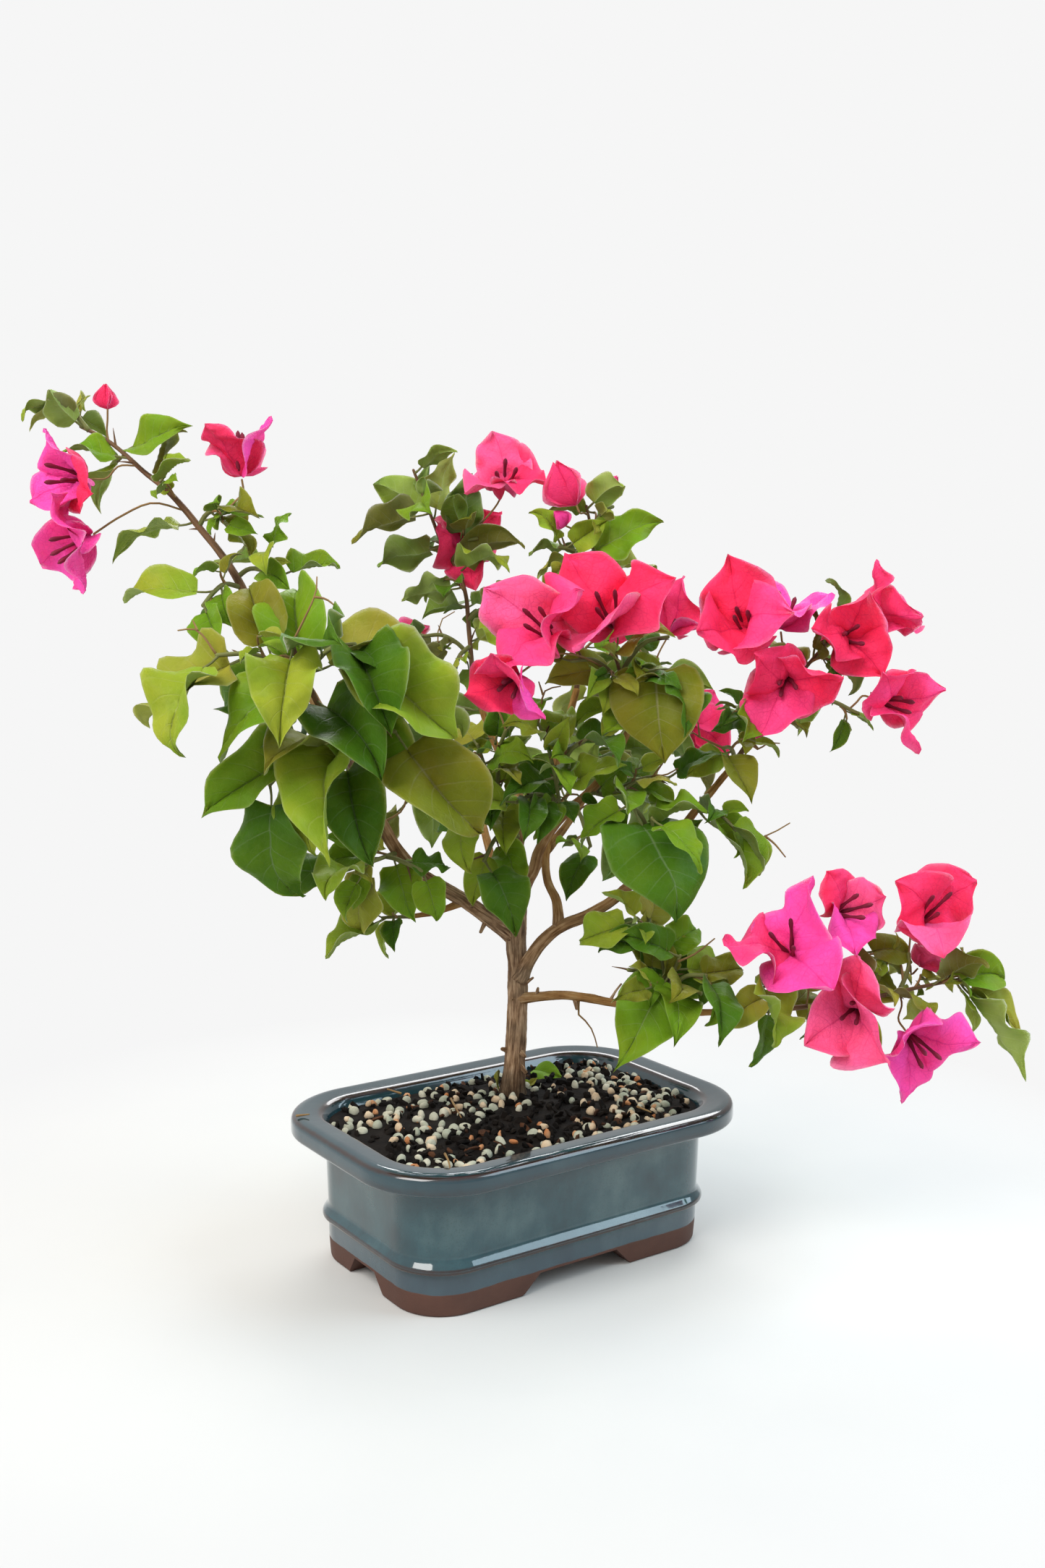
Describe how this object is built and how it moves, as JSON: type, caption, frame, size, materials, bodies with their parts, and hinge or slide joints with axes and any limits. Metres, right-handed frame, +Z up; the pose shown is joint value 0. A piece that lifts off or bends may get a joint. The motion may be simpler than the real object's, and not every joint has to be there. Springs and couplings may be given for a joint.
{
  "type": "bougainvillea bonsai in glazed pot",
  "caption": "Flowering bonsai with a slender trunk, spreading boughs, leafy and blossoming masses, in a rectangular glazed pot on bracket feet.",
  "frame": {"origin": "under the middle of the whole outline, on the level that the pot's feet stand on", "axes": "+Z up, +X along the pot's long side; the plant's own front, which the picture shows, is turned 35 degrees from the pot's front at -Y towards -X"},
  "size_m": [0.3968, 0.31, 0.41],
  "materials": {
    "glaze": "gloss",
    "soil": "matte",
    "bark": "matte",
    "leaf": "satin",
    "bract": "matte"
  },
  "bodies": {
    "root": {"pot": "glaze", "soil": "soil", "trunk": "bark", "bough_left": "bark", "bough_centre": "bark", "bough_top_left": "bark", "bough_right": "bark", "bough_right_middle": "bark", "bough_inner_right": "bark", "bough_low_right": "bark", "bough_low_left": "bark", "bough_back_left": "bark", "bough_back_right": "bark", "foliage_upper_left": "leaf", "foliage_left": "leaf", "foliage_left_lower": "leaf", "foliage_low_left": "leaf", "foliage_top_left": "leaf", "foliage_top": "leaf", "foliage_right_front": "leaf", "foliage_right_under": "leaf", "foliage_low_right_inner": "leaf", "foliage_centre_left": "leaf", "foliage_centre": "leaf", "foliage_centre_right": "leaf", "foliage_inner_right": "leaf", "foliage_back_left": "leaf", "foliage_back_right": "leaf", "foliage_centre_blossom": "bract", "foliage_right": "bract", "foliage_low_right": "bract"}
  },
  "joints": []
}
